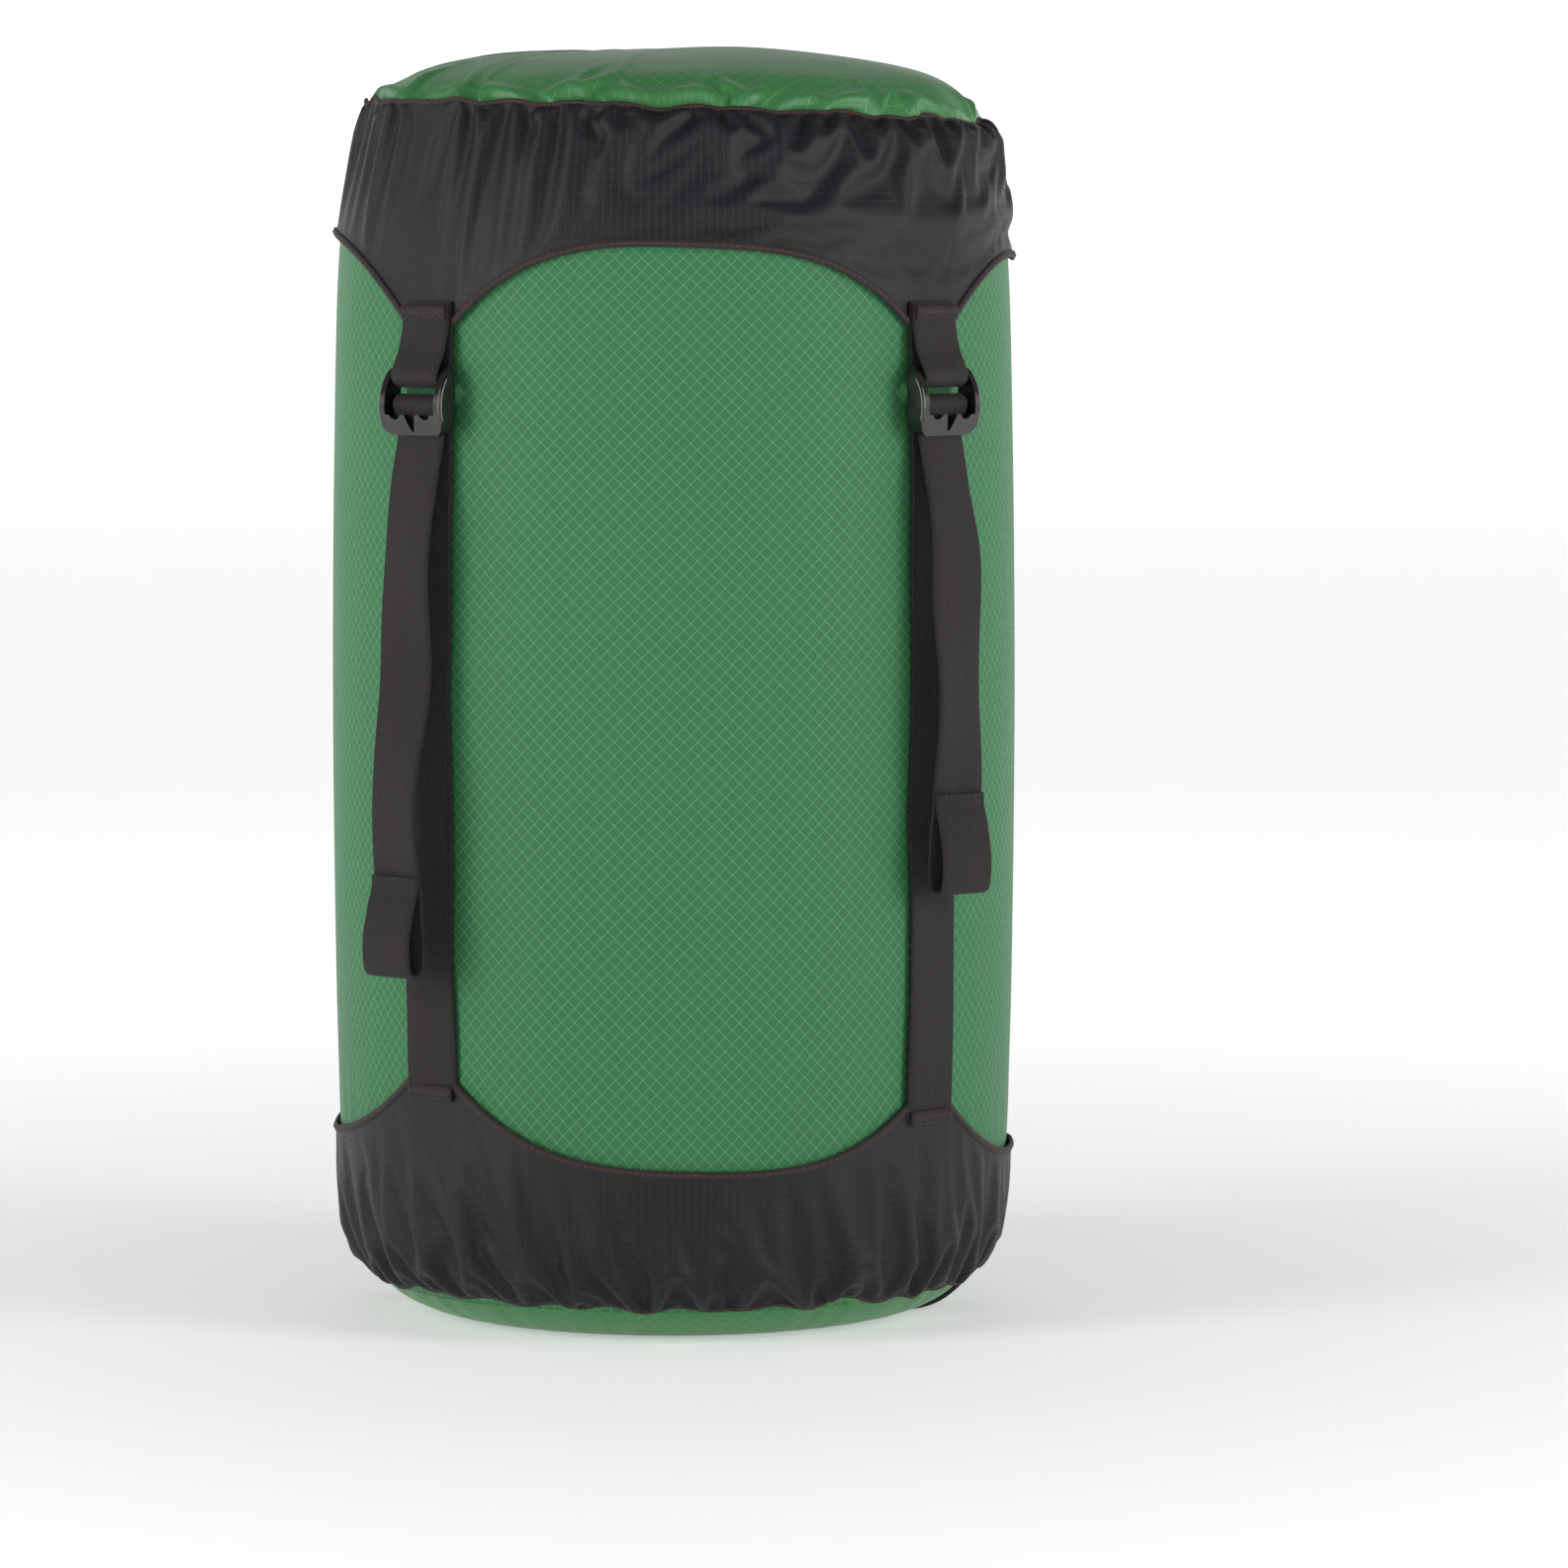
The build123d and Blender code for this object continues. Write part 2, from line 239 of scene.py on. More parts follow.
def rounded_section(width, thickness, crown=0.0):
    """Points round a flat section with rounded sides: x across, y through it. crown raises its middle."""
    half, deep = width / 2 - thickness / 2, thickness / 2
    flat = np.linspace(half, -half, 7)
    turns = np.linspace(0, math.pi, 5)[1:-1]
    face = [(x, deep + crown * (1 - (x / half) ** 2)) for x in flat]
    face += [(-half - math.sin(turn) * deep, math.cos(turn) * deep) for turn in turns]
    back = [(-x, -deep) for x in flat]
    back += [(half + math.sin(turn) * deep, math.cos(turn) * deep) for turn in turns[::-1]]
    return np.array(face + back)


def sweep(name, path, across, outward, section, closed=False, caps=(True, True)):
    """A mesh from a section carried along a path. across and outward are unit vectors for each point.

    caps says which ends are closed, and its UV runs across and along it in metres."""
    ring = (
        path[:, None, :]
        + section[None, :, 0:1] * across[:, None, :]
        + section[None, :, 1:2] * outward[:, None, :]
    )
    if closed:
        ring = np.vstack([ring, ring[:1]])
        path = np.vstack([path, path[:1]])
    rows, columns = ring.shape[:2]
    run = lengths(path)
    uv = np.zeros((rows, columns + 1, 2))
    uv[:, :columns, 0] = section[None, :, 0]
    uv[:, columns, 0] = section[0, 0]
    uv[:, :, 1] = run[:, None]
    faces, corner_rows, corner_columns = grid_faces(rows, columns, True)
    uvs = uv[corner_rows, corner_columns].reshape(-1, 2)
    if closed:
        faces = (corner_rows % (rows - 1)) * columns + corner_columns % columns
        return mesh_object(name, ring[:-1].reshape(-1, 3), faces, uvs)
    faces = [tuple(f) for f in faces]
    if caps[0]:
        faces.append(tuple(range(columns))[::-1])
        uvs = np.vstack([uvs, uv[0, range(columns - 1, -1, -1)]])
    if caps[1]:
        faces.append(tuple((rows - 1) * columns + c for c in range(columns)))
        uvs = np.vstack([uvs, uv[-1, :columns]])
    return mesh_object(name, ring.reshape(-1, 3), faces, uvs)


def dashes(name, path, outward, pitch, length, radius, closed=False, slant=0.0):
    """Stitches as short rounded lengths of thread along a path, slanted to alternate sides."""
    if closed:
        path = np.vstack([path, path[:1]])
        outward = np.vstack([outward, outward[:1]])
    run = lengths(path)
    count = max(1, int(round(run[-1] / pitch)))
    at = (np.arange(count) + 0.5) * run[-1] / count
    spot, out = sample(at, run, path), sample(at, run, outward)
    ahead, behind = sample(at + pitch * 0.2, run, path), sample(at - pitch * 0.2, run, path)
    tangent = unit(ahead - behind)
    out = unit(out - (out * tangent).sum(axis=1)[:, None] * tangent)
    side = np.cross(out, tangent)
    if slant:
        turn = np.where(np.arange(count) % 2 == 0, slant, -slant)[:, None]
        tangent, side = (
            tangent * np.cos(turn) + side * np.sin(turn),
            side * np.cos(turn) - tangent * np.sin(turn),
        )
    rings = [(-1.0, 0.25, -0.8), (-0.8, 0.8, -0.15), (0.0, 1.0, 0.25), (0.8, 0.8, -0.15), (1.0, 0.25, -0.8)]
    template = []
    for x, size, height in rings:
        for turn in full_turn(6):
            across, up = size * math.cos(turn), size * math.sin(turn) + height
            template.append((x * length / 2, radius * across, radius * up))
    template = np.array(template)
    vertices = (
        spot[:, None, :]
        + template[None, :, 0:1] * tangent[:, None, :]
        + template[None, :, 1:2] * side[:, None, :]
        + template[None, :, 2:3] * out[:, None, :]
    )
    one, _, _ = grid_faces(len(rings), 6, True)
    caps = [tuple(range(6))[::-1], tuple(len(template) - 6 + c for c in range(6))]
    faces = []
    for index in range(count):
        base = index * len(template)
        faces += [tuple(base + c for c in f) for f in one]
        faces += [tuple(base + c for c in f) for f in caps]
    return mesh_object(name, vertices.reshape(-1, 3), faces)


def join(name, pieces):
    """Join mesh objects into the first one."""
    with bpy.context.temp_override(active_object=pieces[0], selected_editable_objects=pieces):
        bpy.ops.object.join()
    pieces[0].name = name
    pieces[0].data.name = name
    return pieces[0]


# ---- materials ----


class Nodes:
    """A material's node tree, with short ways to add and link what the materials here need."""

    def __init__(self, name):
        self.material = bpy.data.materials.new(name)
        self.material.use_nodes = True
        self.tree = self.material.node_tree
        self.shader = self.tree.nodes["Principled BSDF"]

    def add(self, kind, **values):
        """Add a node, and set its properties and inputs by name."""
        node = self.tree.nodes.new(kind)
        for key, value in values.items():
            if hasattr(node, key):
                setattr(node, key, value)
            else:
                node.inputs[key.replace("_", " ")].default_value = value
        return node

    def link(self, source, target):
        """Link an output to an input."""
        self.tree.links.new(source, target)

    def math(self, operation, a, b=0.0):
        """A Math node on sockets or numbers. Its output is returned."""
        node = self.add("ShaderNodeMath", operation=operation)
        for socket, value in zip(node.inputs, (a, b)):
            if isinstance(value, bpy.types.NodeSocket):
                self.link(value, socket)
            else:
                socket.default_value = value
        return node.outputs[0]

    def times(self, a, b):
        """The product of two sockets or numbers."""
        return self.math("MULTIPLY", a, b)

    def plus(self, a, b):
        """The sum of two sockets or numbers."""
        return self.math("ADD", a, b)

    def minus(self, a, b):
        """The difference of two sockets or numbers."""
        return self.math("SUBTRACT", a, b)

    def clamp(self, value):
        """A value held between 0 and 1."""
        return self.math("MINIMUM", self.math("MAXIMUM", value, 0.0), 1.0)

    def wave(self, value, pitch):
        """A sine wave along a value."""
        return self.math("SINE", self.times(value, 2 * math.pi / pitch))

    def surface(self, **values):
        """Set inputs of the shader that are the same all over."""
        for key, value in values.items():
            self.shader.inputs[key.replace("_", " ")].default_value = value

    def noise(self, scale, detail):
        """A noise texture in object space."""
        node = self.add("ShaderNodeTexNoise", Scale=scale, Detail=detail)
        self.link(self.object_space(), node.inputs["Vector"])
        return node.outputs["Fac"]

    def object_space(self):
        """Object coordinates, made once."""
        if not hasattr(self, "coordinates"):
            self.coordinates = self.add("ShaderNodeTexCoord")
        return self.coordinates.outputs["Object"]

    def uv_space(self):
        """The mesh's own coordinates across and along it."""
        self.object_space()
        return self.coordinates.outputs["UV"]

    def split(self, vector):
        """The three parts of a vector."""
        node = self.add("ShaderNodeSeparateXYZ")
        self.link(vector, node.inputs[0])
        return node.outputs

    def ramp(self, factor, stops):
        """A colour ramp on a factor, with (place, colour) stops."""
        node = self.add("ShaderNodeValToRGB")
        self.link(factor, node.inputs[0])
        band = node.color_ramp.elements
        while len(band) < len(stops):
            band.new(0.5)
        for element, (place, colour) in zip(band, stops):
            element.position = place
            element.color = (*colour, 1.0)
        return node.outputs[0]

    def mix(self, factor, a, b):
        """Mix two colours, each a socket or three numbers."""
        node = self.add("ShaderNodeMix", data_type="RGBA")
        for socket, value in ((node.inputs[0], factor), (node.inputs[6], a), (node.inputs[7], b)):
            if isinstance(value, bpy.types.NodeSocket):
                self.link(value, socket)
            elif socket.type == "VALUE":
                socket.default_value = value
            else:
                socket.default_value = (*value, 1.0)
        return node.outputs[2]

    def bump(self, height, distance, strength=1.0, after=None):
        """A bump from a height that runs from 0 to 1 over a distance in metres."""
        node = self.add("ShaderNodeBump", Strength=strength, Distance=distance)
        self.link(height, node.inputs["Height"])
        if after is not None:
            self.link(after, node.inputs["Normal"])
        return node.outputs[0]

    def distance(self, x, y):
        """How far a point is from the sack's axis."""
        return self.math("SQRT", self.plus(self.times(x, x), self.times(y, y)))

    def stripe(self, value, pitch, width):
        """1 on a line of this width in every pitch of a value, 0 between, with soft sides."""
        share = self.math("FRACT", self.math("DIVIDE", value, pitch))
        away = self.math("ABSOLUTE", self.minus(share, 0.5))
        edge = self.minus(width / pitch / 2, away)
        return self.clamp(self.times(edge, pitch / width * 3))

    def finish(self, colour, roughness, normal):
        """Link the three things that vary over the surface."""
        self.link(colour, self.shader.inputs["Base Color"])
        self.link(roughness, self.shader.inputs["Roughness"])
        self.link(normal, self.shader.inputs["Normal"])
        return self.material


def ripstop(name, colours, pattern, line_pitch, line_width, roughness, line_tone_and_sheen, gloss, wrinkle=0.0):
    """Coated ripstop cloth: a fine weave crossed by a grid of thicker threads.

    pattern says how the grid lies: slanted round the wall, slanted on a flat panel, or square round it."""
    n = Nodes(name)
    x, y, z = n.split(n.object_space())
    if pattern == "panel":
        first, second = n.plus(x, y), n.minus(x, y)
    else:
        first, second = n.times(n.math("ARCTAN2", y, x), BODY_RADIUS), z
    if pattern == "wall":
        away = n.minus(z, n.distance(x, y))
        first, second = n.plus(first, away), n.minus(first, away)
    lines = n.math("MAXIMUM", *(n.stripe(way, line_pitch, line_width) for way in (first, second)))
    weave = n.times(n.wave(first, WEAVE), n.wave(second, WEAVE))
    cloud = n.noise(9.0, 3.0)
    grain = n.noise(900.0, 2.0)
    shade = n.mix(cloud, colours[0], colours[1])
    # The grid threads are mixed towards the third, lighter colour: partly the threads' own tone, partly painted
    # sheen that stands in for the light their raised threads catch.
    shade = n.mix(n.times(lines, line_tone_and_sheen), shade, colours[2])
    shade = n.mix(n.times(grain, 0.12), shade, colours[1])
    rough = n.plus(roughness, n.times(n.minus(cloud, 0.5), 0.12))
    line_gloss = 0.30 if pattern == "wall" else 0.09
    rough = n.minus(rough, n.times(lines, line_gloss))
    height = n.plus(n.times(lines, 0.8), n.times(weave, 0.10))
    normal = n.bump(height, 0.07 * MM, 0.9)
    if wrinkle:
        crinkle = n.noise(70.0, 4.0)
        normal = n.bump(crinkle, wrinkle, 0.7, normal)
    n.surface(Specular_IOR_Level=gloss, Sheen_Weight=0.015, Sheen_Roughness=0.4)
    return n.finish(shade, rough, normal)


def woven(name, base, light, strand_angle=None):
    """Herringbone webbing: two halves of slanted ribs that meet down the middle, with plain selvedges.

    A strand takes its pattern from its place in the sack, because it is made in several pieces."""
    n = Nodes(name)
    if strand_angle is None:
        u, v, _ = n.split(n.uv_space())
    else:
        x, y, z = n.split(n.object_space())
        u = n.minus(n.times(y, math.cos(strand_angle)), n.times(x, math.sin(strand_angle)))
        v = z
    off = n.math("ABSOLUTE", u)
    steepness = -1.7 if strand_angle is None else 1.7
    ribs = n.wave(n.plus(v, n.times(off, steepness)), 1.7 * MM)
    warp = n.wave(u, 0.62 * MM)
    weft = n.wave(v, 0.55 * MM)
    selvedge = n.math("GREATER_THAN", off, WEBBING_WIDTH / 2 - 1.1 * MM)
    twill = n.plus(n.times(ribs, 0.6), n.times(warp, 0.15))
    edge = n.times(weft, 0.5)
    blend = n.add("ShaderNodeMix", data_type="FLOAT")
    n.link(selvedge, blend.inputs[0])
    n.link(twill, blend.inputs[2])
    n.link(edge, blend.inputs[3])
    height = n.clamp(n.plus(n.times(blend.outputs[0], 0.7), 0.5))
    fuzz = n.noise(2500.0, 2.0)
    cloud = n.noise(25.0, 3.0)
    shade = n.mix(height, base, light)
    shade = n.mix(n.times(cloud, 0.3), shade, base)
    shade = n.mix(n.times(fuzz, 0.1), shade, light)
    rough = n.plus(0.6, n.times(fuzz, 0.2))
    normal = n.bump(n.plus(height, n.times(fuzz, 0.2)), 0.22 * MM, 1.0)
    n.surface(Specular_IOR_Level=0.25, Sheen_Weight=0.02, Sheen_Roughness=0.45)
    return n.finish(shade, rough, normal)


def tape(name, base, light):
    """Narrow woven edge tape, ribbed across its length."""
    n = Nodes(name)
    u, v, _ = n.split(n.uv_space())
    ribs = n.wave(v, 0.7 * MM)
    warp = n.wave(u, 0.5 * MM)
    height = n.plus(n.times(n.plus(ribs, n.times(warp, 0.5)), 0.33), 0.5)
    cloud = n.noise(120.0, 3.0)
    shade = n.mix(height, base, light)
    shade = n.mix(n.times(cloud, 0.4), shade, tuple(c * 0.5 for c in base))
    rough = n.plus(0.6, n.times(cloud, 0.2))
    n.surface(Specular_IOR_Level=0.35, Sheen_Weight=0.05)
    return n.finish(shade, rough, n.bump(height, 0.12 * MM, 0.8))


def thread(name, base, light):
    """Twisted sewing thread."""
    n = Nodes(name)
    cloud = n.noise(1800.0, 2.0)
    tint = n.noise(60.0, 2.0)
    shade = n.mix(cloud, base, light)
    shade = n.mix(n.times(tint, 0.5), shade, base)
    rough = n.plus(0.45, n.times(cloud, 0.2))
    return n.finish(shade, rough, n.bump(cloud, 0.08 * MM, 0.7))


def moulded_plastic(name, base, light):
    """Black moulded acetal with a fine mould texture, rubbed a little."""
    n = Nodes(name)
    fine = n.noise(1400.0, 3.0)
    worn = n.noise(160.0, 4.0)
    shade = n.mix(n.ramp(worn, [(0.45, (0, 0, 0)), (0.75, (1, 1, 1))]), base, light)
    rough = n.plus(0.14, n.times(worn, 0.16))
    normal = n.bump(fine, 0.03 * MM, 0.5)
    normal = n.bump(worn, 0.08 * MM, 0.25, normal)
    n.surface(Specular_IOR_Level=0.6, Coat_Weight=0.15, Coat_Roughness=0.2)
    return n.finish(shade, rough, normal)


def blackened_metal(name):
    """The eyelet's dark plated metal, brighter where it is rubbed."""
    n = Nodes(name)
    worn = n.noise(900.0, 4.0)
    shade = n.mix(worn, (0.05, 0.047, 0.045), (0.22, 0.2, 0.18))
    rough = n.plus(0.25, n.times(worn, 0.25))
    n.surface(Metallic=1.0)
    return n.finish(shade, rough, n.bump(worn, 0.03 * MM, 0.5))


def wear(piece, material):
    """Give a piece its material."""
    piece.data.materials.clear()
    piece.data.materials.append(material)


# The third colour in GREEN, DOME_GREEN and CHARCOAL is for the lighter grid threads: partly their own tone,
# partly painted sheen of their raised threads.
GREEN = [(0.034, 0.148, 0.057), (0.042, 0.168, 0.067), (0.105, 0.305, 0.160)]
DOME_GREEN = [(0.034, 0.165, 0.044), (0.046, 0.190, 0.058), (0.070, 0.240, 0.095)]
WEBBING_DARK, WEBBING_LIGHT = (0.0008, 0.0007, 0.0007), (0.045, 0.038, 0.036)
CHARCOAL = [(0.0066, 0.0060, 0.0083), (0.0102, 0.0090, 0.0126), (0.025, 0.022, 0.029)]
MATERIALS = {
    "wall": ripstop("green_wall", GREEN, "wall", DIAMOND, 0.50 * MM, 0.52, 0.9, 0.13),
    "panel": ripstop("green_panel", DOME_GREEN, "panel", DIAMOND, 0.50 * MM, 0.40, 0.8, 0.36, 0.7 * MM),
    "collar": ripstop("charcoal_collar", CHARCOAL, "square", 2.4 * MM, 0.30 * MM, 0.52, 0.4, 0.26, 0.2 * MM),
    "webbing": woven("webbing", WEBBING_DARK, WEBBING_LIGHT),
    "tape": tape("edge_tape", (0.008, 0.0055, 0.005), (0.034, 0.023, 0.020)),
    "thread": thread("seam_thread", (0.040, 0.016, 0.012), (0.100, 0.042, 0.030)),
    "dark_thread": thread("dark_thread", (0.010, 0.0085, 0.008), (0.045, 0.036, 0.033)),
    "plastic": moulded_plastic("buckle_plastic", (0.004, 0.0036, 0.0036), (0.012, 0.010, 0.009)),
    "metal": blackened_metal("eyelet_metal"),
}


# ---- cloth ----


def springs(cut, wrap, bend):
    """The pairs of neighbours in a grid of cloth, as (first, second, rest length, stiffness) sets.

    No point is in one set twice, so that each set can move all at once."""
    rows, columns = cut.shape[:2]
    number = np.arange(rows * columns).reshape(rows, columns)
    flat = cut.reshape(-1, 3)
    sets = []
    straight = [(0, 1, 1.0), (1, 0, 1.0)]
    skew = [(1, 1, 0.35), (1, -1, 0.35)]
    across_two = [(0, 2, bend), (2, 0, bend)]
    for down, along, stiffness in straight + skew + across_two:
        first = number[: rows - down]
        second = np.roll(number, -along, axis=1)[down:]
        r, c = np.indices(first.shape)
        turn = (r // down if down else c // along) % 2
        inside = np.ones(first.shape, bool) if wrap else (c + along >= 0) & (c + along < columns)
        for colour in (0, 1):
            chosen = (turn == colour) & inside
            i, j = first[chosen], second[chosen]
            sets.append((i, j, np.linalg.norm(flat[j] - flat[i], axis=1), stiffness))
    return sets


def settle(start, cut, held, push_out, wrap, bend, weight=0.0, rounds=260):
    """Let a sheet that was cut larger than the place it is sewn into fall into folds.

    start and cut are points[row, column]. held is true where the sheet is sewn down, and push_out moves
    points back to the surface of what the sheet lies on."""
    points = start.reshape(-1, 3).copy()
    free = np.where(held.ravel(), 0.0, 1.0)[:, None]
    sets = springs(cut, wrap, bend)
    before = points.copy()
    for _ in range(rounds):
        drift = (points - before) * 0.93
        before = points.copy()
        points = points + free * (drift - np.array([0.0, 0.0, weight]))
        for i, j, rest, stiffness in sets:
            apart = points[j] - points[i]
            length = np.sqrt((apart * apart).sum(axis=1))
            share = stiffness * (1 - rest / np.maximum(length, 1e-9))[:, None]
            share = share / np.maximum(free[i] + free[j], 1.0)
            points[i] += free[i] * share * apart
            points[j] -= free[j] * share * apart
        points = np.where(free > 0, push_out(points), points)
    return points.reshape(start.shape)


def hem_wave(angles, seed, size):
    """How far a gathered hem stands up and down from its level line, at each angle."""
    broad = ripple(angles, 0 * angles, seed, 7, 6, 16)
    fine = ripple(angles, 0 * angles, seed + 1, 9, 18, 42)
    return size * (0.55 * broad + 0.45 * fine)


def edge_lean(angles, at_sides, at_tips):
    """How far a collar that sits askew is raised at each angle: up on the left, down on the right."""
    return -np.cos(angles) * (at_sides + (at_tips / math.sqrt(0.5) - at_sides) * np.abs(np.sin(2 * angles)))


def scallop_height(angles, apex, tip, lean):
    """The height of a collar's arched edge at each angle."""
    straps = np.array(list(STRAP_ANGLES.values()))
    off = np.abs((angles[:, None] - straps[None, :] + math.pi) % (2 * math.pi) - math.pi).min(axis=1)
    from_apex = math.pi / 4 - off
    share = np.clip(from_apex / SCALLOP_HALF_ANGLE, -1, 1)
    return apex + (tip - apex) * np.abs(share) ** 3 + edge_lean(angles, *lean)


def collar(name, line, apex, tip, seed, fullness, twist, hem_lean, lean):
    """One gathered collar: sewn flat along its arched edge, and drawn in at its hem.

    line runs from the hem to past the tips, as (radius, height). fullness is how much more cloth the hem has
    than room, twist is how far it is drawn round, hem_lean tilts the hem and lean tilts the arched edge."""
    rows, columns = COLLAR_GRID
    angles = full_turn(columns)
    fine = smooth_line(line, 400)
    run = lengths(fine)
    order = np.argsort(fine[:, 1])
    edge_run = np.interp(scallop_height(angles, apex, tip, lean), fine[order, 1], run[order])
    share = np.linspace(0, 1, rows)[:, None]
    place = share * edge_run[None, :]
    near_hem = (1 - share) ** 2
    lean = near_hem * hem_lean * -np.cos(angles)[None, :]
    radius = np.interp(place, run, fine[:, 0]) + near_hem * 0.7 * MM * hem_wave(angles, seed + 8, 1.0)[None, :]
    height = np.interp(place, run, fine[:, 1]) + near_hem * hem_wave(angles, seed, 2.0 * MM)[None, :] + lean
    loose = np.sin(np.pi * share) * (1 - share) * 1.6 * MM
    radius = radius + loose * (1 + ripple(angles[None, :], share * 0.1, seed + 5, 18, 16, 60))
    bunched = math.radians(0.8) * ripple(angles, 0 * angles, seed + 9, 8, 5, 22)
    turned = angles[None, :] + near_hem * (bunched + twist)[None, :]
    points = polar(radius, turned, height)
    cut_radius = np.interp(place, run, fine[:, 0]) * (1 + fullness * (1 - share) ** 2.3)
    cut = polar(cut_radius, angles, place * 1.01)
    held = np.zeros((rows, columns), bool)
    held[[0, -2, -1]] = True

    def push_out(p):
        """Keep the collar outside the sack that it lies on."""
        reach = np.hypot(p[:, 0], p[:, 1])
        least = np.interp(p[:, 2], fine[order, 1], fine[order, 0]) - 0.7 * MM
        grow = np.maximum(least / np.maximum(reach, 1e-6), 1.0)[:, None]
        return p * np.where(np.array([True, True, False]), grow, 1.0)

    points = settle(points, cut, held, push_out, True, 0.9)
    return grid_object(name, points, True)


COLLAR_GRID = (36, 480)
LID_SKIRT_LINE = [
    (98.2 * MM, LID_HEM + 1.2 * MM),
    (103.4 * MM, LID_HEM - 16 * MM),
    (107.6 * MM, LID_HEM - 33 * MM),
    (109.5 * MM, LID_HEM - 49 * MM),
    (110.2 * MM, LID_TIP - 1.0 * MM),
    (110.4 * MM, LID_TIP - 7.0 * MM),
]
BASE_SKIRT_LINE = [
    (96.6 * MM, TUBE_BOTTOM + 1.2 * MM),
    (104.2 * MM, TUBE_BOTTOM + 14 * MM),
    (108.4 * MM, TUBE_BOTTOM + 34 * MM),
    (109.9 * MM, BASE_TIP + 1.0 * MM),
    (110.2 * MM, BASE_TIP + 7.0 * MM),
]


def edge_points(piece, row):
    """One row of a collar's points."""
    return positions(piece).reshape(*COLLAR_GRID, 3)[row]


def outward_at(points):
    """Unit vectors outwards from the sack's axis at each point."""
    return unit(points * np.array([1.0, 1.0, 0.0]))


def bound_edges(name, edge, body, replaced):
    """Tape and stitching along each arched edge of a collar, from strap to strap."""
    angles = full_turn(len(edge))
    margin = math.radians(5.0)
    section = rounded_section(BINDING_WIDTH, BINDING_THICKNESS, crown=0.12 * MM)
    tapes, seams = [], []
    straps = sorted(a % (2 * math.pi) for a in STRAP_ANGLES.values())
    for start, end in zip(straps, straps[1:] + [straps[0] + 2 * math.pi]):
        wanted = np.linspace(start + margin, end - margin, 150)
        wrapped = np.r_[angles, angles + 2 * math.pi, angles[:1] + 4 * math.pi]
        path = sample(wanted, wrapped, np.vstack([edge, edge, edge[:1]]))
        out = outward_at(path)
        path = path + out * 0.25 * MM
        side = np.cross(out, unit(np.gradient(path, axis=0)))
        tapes.append(sweep("tape", path, side, out, section))
        face = path + out * (BINDING_THICKNESS / 2 + 0.1 * MM)
        seams.append(dashes("seam", face, out, 2.3 * MM, 1.7 * MM, 0.22 * MM))
    bound = join(name, tapes)
    wear(bound, MATERIALS["tape"])
    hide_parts(replaced)
    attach(bound, body)
    seam = join(name + "_stitches", seams)
    wear(seam, MATERIALS["thread"])
    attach(seam, body)


def hem_edge(name, hem, body, replaced):
    """The narrow rolled hem that a collar is gathered along, with its overlocked thread."""
    out = outward_at(hem)
    side = np.cross(out, unit(np.roll(hem, -1, axis=0) - np.roll(hem, 1, axis=0)))
    section = rounded_section(1.7 * MM, 1.0 * MM)
    rolled = sweep(name, hem + out * 0.2 * MM, side, out, section, closed=True)
    wear(rolled, MATERIALS["tape"])
    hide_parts(replaced)
    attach(rolled, body)
    seam = dashes(
        name + "_stitches", hem + out * 0.72 * MM, out, 1.5 * MM, 1.5 * MM, 0.2 * MM, closed=True, slant=0.7
    )
    wear(seam, MATERIALS["thread"])
    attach(seam, body)


def make_collars():
    """The lid's skirt and the base collar, with their edges and hems. The lid's hem line is returned."""
    skirt = collar(
        "lid_skirt", LID_SKIRT_LINE, LID_APEX, LID_TIP, seed=11,
        fullness=0.18, twist=math.radians(0.7), hem_lean=3.4 * MM, lean=LID_LEAN,
    )
    hem = edge_points(skirt, 0)
    bound_edges("lid_edge_tape", edge_points(skirt, -1), "lid", "lid_collar_binding")
    hem_edge("lid_hem", hem, "lid", "lid_hem_binding")
    finish_collar(skirt, "lid", "lid_collar")

    base = collar(
        "base_skirt", BASE_SKIRT_LINE, BASE_APEX, BASE_TIP, seed=31,
        fullness=0.22, twist=math.radians(0.9), hem_lean=0.5 * MM, lean=BASE_LEAN,
    )
    bound_edges("base_edge_tape", edge_points(base, -1), "sack", "base_collar_binding")
    hem_edge("base_hem", edge_points(base, 0), "sack", "base_hem_binding")
    finish_collar(base, "sack", "base_collar")
    return hem


def finish_collar(piece, body, node):
    """Smooth a collar, give it its thickness and material, and put it on its body."""
    subdivide(piece)
    thicken(piece, 1)
    wear(piece, MATERIALS["collar"])
    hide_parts(node)
    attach(piece, body)


def disc_points(count):
    """A square grid of points spread evenly over a disc of radius 1, edge points on its rim."""
    line = np.linspace(-1, 1, count)
    a, b = np.meshgrid(line, line, indexing="ij")
    reach = np.where(np.abs(a) > np.abs(b), a, b)
    ratio = np.divide(np.where(np.abs(a) > np.abs(b), b, a), reach, out=np.zeros_like(a), where=reach != 0)
    angle = np.where(np.abs(a) > np.abs(b), math.pi / 4 * ratio, math.pi / 2 - math.pi / 4 * ratio)
    return reach * np.cos(angle), reach * np.sin(angle)


